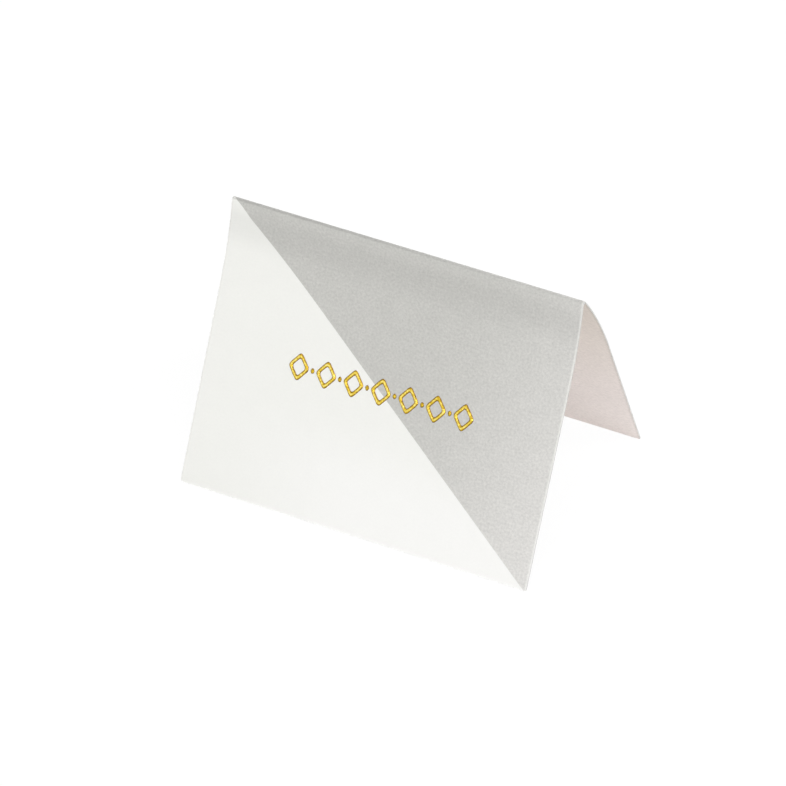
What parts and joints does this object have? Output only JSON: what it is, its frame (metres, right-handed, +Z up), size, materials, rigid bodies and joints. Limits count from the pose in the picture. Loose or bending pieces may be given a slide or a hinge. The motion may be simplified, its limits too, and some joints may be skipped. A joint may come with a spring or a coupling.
{
  "type": "folded greeting card",
  "caption": "Folded note card standing open as a tent, printed in two fields split on the diagonal, with a row of raised gold lozenges.",
  "frame": {"origin": "on the surface the card stands on, under the middle of its footprint", "axes": "+X along the fold, towards the end where the inside shows; the front panel faces -Y; +Z up"},
  "size_m": [0.1396, 0.0946, 0.097],
  "materials": {
    "card_stock": "uncoated matt card stock, white with a pale grey printed field",
    "gold_foil": "raised bright gold foil"
  },
  "bodies": {
    "root": {"card": "card_stock", "gold_lozenges": "gold_foil", "gold_dots": "gold_foil"}
  },
  "joints": []
}
